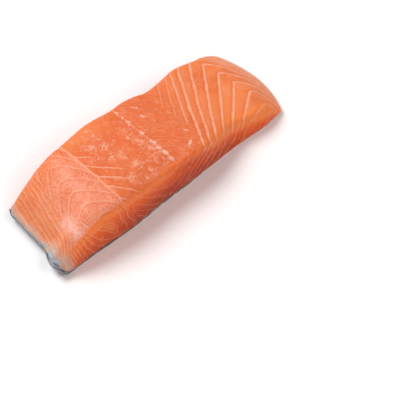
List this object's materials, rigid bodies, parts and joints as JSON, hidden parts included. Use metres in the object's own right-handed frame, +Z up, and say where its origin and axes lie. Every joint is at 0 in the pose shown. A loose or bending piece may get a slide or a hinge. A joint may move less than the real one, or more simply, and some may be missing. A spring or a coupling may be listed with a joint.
{
  "type": "raw salmon fillet",
  "caption": "Raw skin-on salmon fillet portion lying skin down, orange flesh with white fat lines, thick at the back and thin at the belly end.",
  "frame": {"origin": "centre of the footprint's bounding box, on the table under the skin", "axes": "+X along the portion from the dark back of the fish to the thin belly end, +Z up out of the skin, -Y the cut face that shows in front"},
  "size_m": [0.1628, 0.0572, 0.0308],
  "materials": {
    "flesh": "moist raw fish flesh, soft sheen",
    "skin": "damp scaled fish skin, dark back to silver belly"
  },
  "bodies": {
    "root": {"flesh": "flesh", "skin": "skin"}
  },
  "joints": []
}
